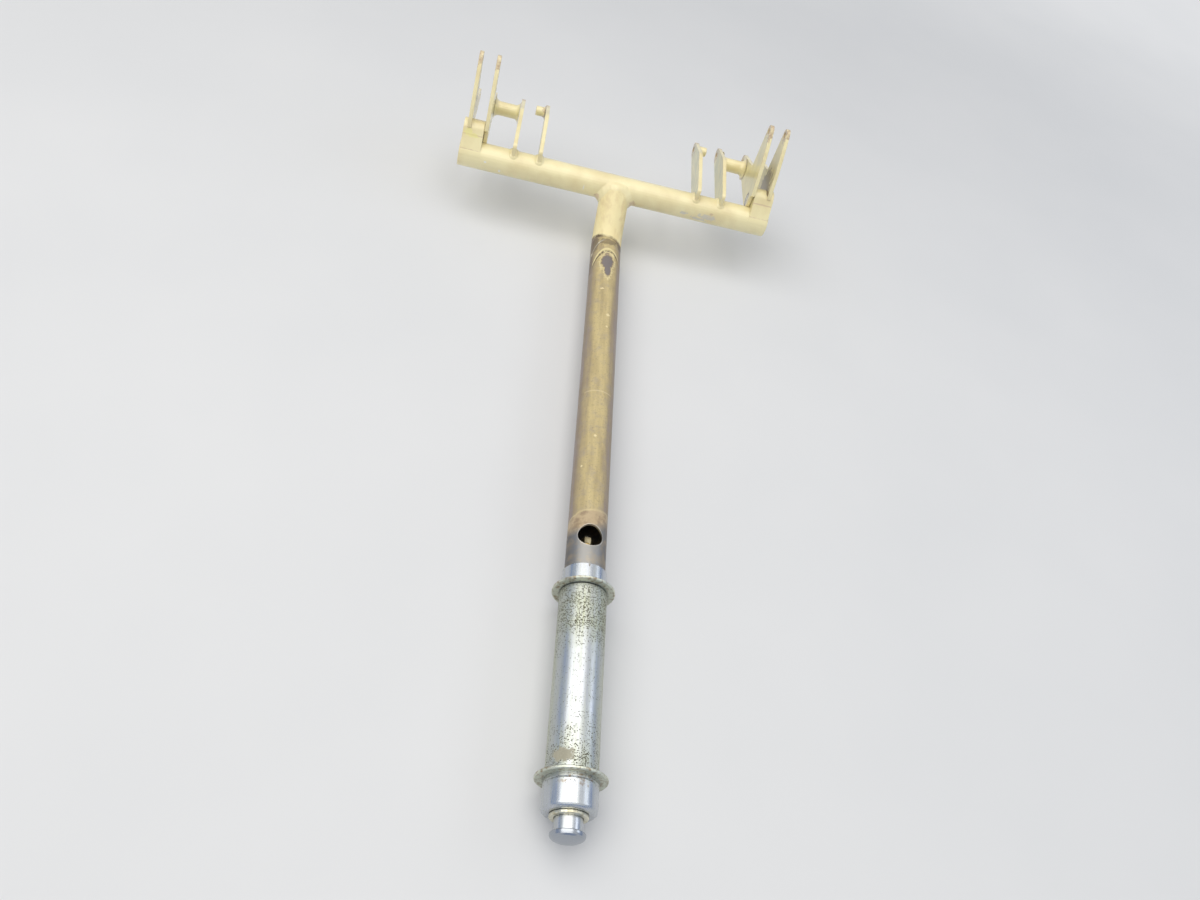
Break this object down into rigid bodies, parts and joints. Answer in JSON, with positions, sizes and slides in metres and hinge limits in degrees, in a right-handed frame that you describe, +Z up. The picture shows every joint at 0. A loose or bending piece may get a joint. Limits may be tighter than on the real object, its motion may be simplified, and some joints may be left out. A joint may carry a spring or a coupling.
{
  "type": "landing gear retraction handle",
  "caption": "Long tee lever for hand retraction of landing gear, with a sliding sprung grip, a push button in its end and forked cranks and straps on the cross tube.",
  "frame": {"origin": "middle of the length and width, level with the lowest point of the grip's end flange", "axes": "+Y along the lever tube from the grip to the cross tube, X along the cross tube, +Z up, the way the crank arms stand"},
  "size_m": [0.2714, 0.6086, 0.1221],
  "materials": {
    "cream_enamel": "glossy cream enamel",
    "olive_paint": "worn olive paint",
    "chrome_plate": "pitted chrome plate",
    "brass": "turned",
    "bearing_bronze": "turned",
    "bare_steel": "bare"
  },
  "bodies": {
    "lever": {"cross_tube": "cream_enamel", "left_outer_crank": "cream_enamel", "left_inner_crank": "cream_enamel", "left_outer_strap": "cream_enamel", "left_inner_strap": "cream_enamel", "left_crank_boss": "cream_enamel", "left_strap_spacer": "cream_enamel", "left_stop_boss": "cream_enamel", "right_outer_crank": "cream_enamel", "right_inner_crank": "cream_enamel", "right_outer_strap": "cream_enamel", "right_inner_strap": "cream_enamel", "right_crank_boss": "cream_enamel", "right_strap_spacer": "cream_enamel", "right_stop_boss": "cream_enamel", "lever_tube": "olive_paint", "guide_plug": "brass", "left_pivot_bushing": "bearing_bronze", "right_pivot_bushing": "bearing_bronze", "plug_rivet": "bare_steel", "grip_spring": "bare_steel"},
    "grip": {"upper_collar": "chrome_plate", "grip_sleeve": "chrome_plate", "end_cap": "chrome_plate", "end_bush": "brass", "button_spring": "bare_steel"},
    "button": {"push_button": "chrome_plate", "release_rod": "bare_steel", "rod_pin": "bare_steel", "rod_nut": "brass"}
  },
  "joints": [
    {"name": "grip_slide", "type": "slide", "parent": "lever", "child": "grip", "axis": [0, 1, 0], "range_m": [0, 0.022], "stiffness_N_per_m": 400, "springref_m": -0.02, "deforming": ["grip_spring"]},
    {"name": "button_press", "type": "slide", "parent": "grip", "child": "button", "axis": [0, 1, 0], "range_m": [0, 0.005], "stiffness_N_per_m": 600, "springref_m": -0.006, "deforming": ["button_spring"]}
  ]
}
